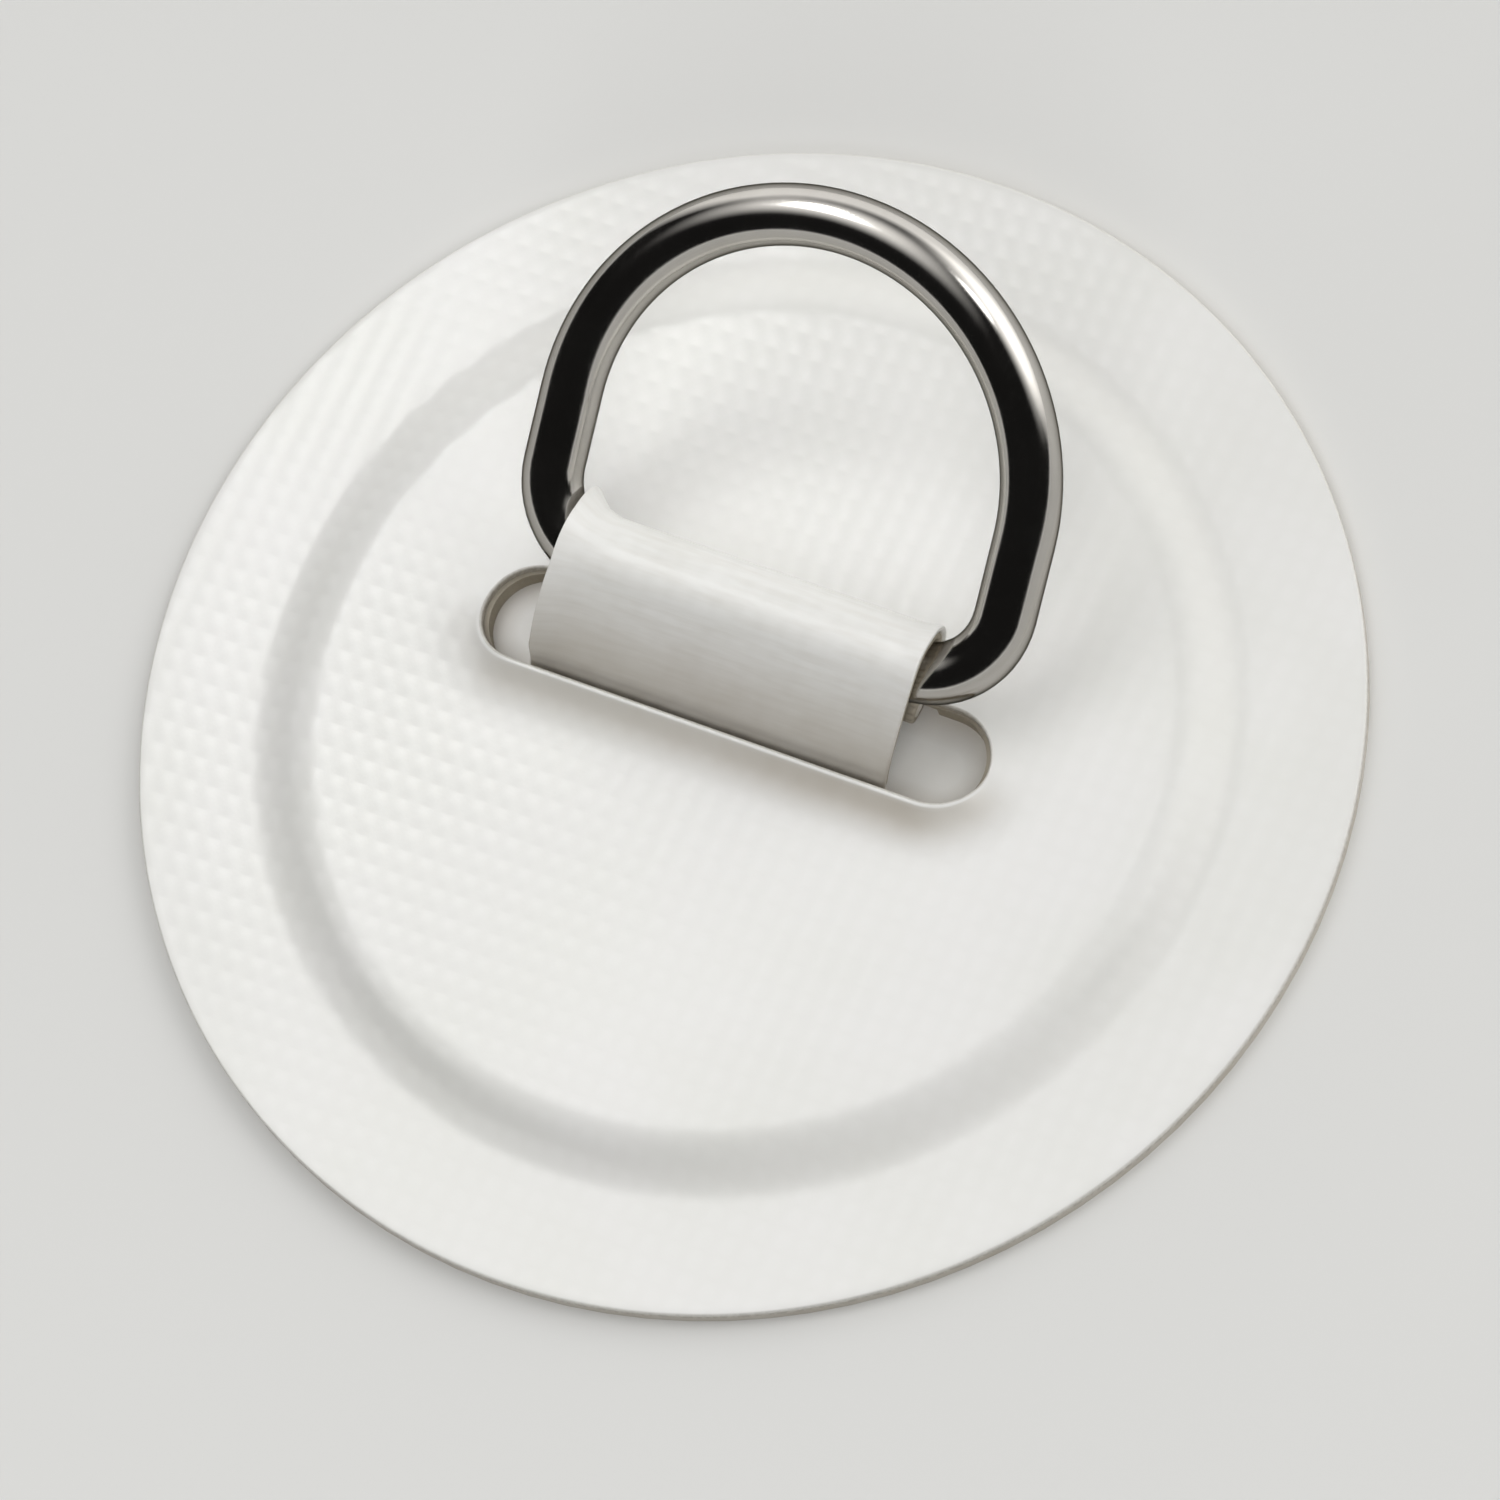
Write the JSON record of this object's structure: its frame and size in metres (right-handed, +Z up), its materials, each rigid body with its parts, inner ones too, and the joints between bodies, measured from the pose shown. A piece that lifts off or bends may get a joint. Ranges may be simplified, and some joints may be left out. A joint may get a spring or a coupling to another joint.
{
  "type": "pad eye",
  "caption": "Round glue-on fabric pad with a slotted raised middle, a strap loop and a steel D-ring that swings in it, for tying a line to an inflatable.",
  "frame": {"origin": "centre of the pad's underside, on the face that is glued down", "axes": "+X along the ring's straight bar, +Y to the side the ring lies back to, +Z up from the boat's skin"},
  "size_m": [0.12, 0.12, 0.0345],
  "materials": {
    "coated_fabric": "satin white coating over a woven base cloth, the weave showing through",
    "webbing": "woven polyester, unbleached",
    "polished_steel": "mirror-polished stainless rod"
  },
  "bodies": {
    "pad": {"base_patch": "coated_fabric", "reinforcing_disc": "coated_fabric", "cover_patch": "coated_fabric", "strap_webbing": "webbing", "strap_facing": "coated_fabric"},
    "ring": {"d_ring": "polished_steel"}
  },
  "joints": [
    {"name": "ring_swing", "type": "hinge", "parent": "pad", "child": "ring", "pos_m": [-0.001, 0.00795, 0.00944], "axis": [1, 0, 0], "range_deg": [-38.5, 150]}
  ]
}
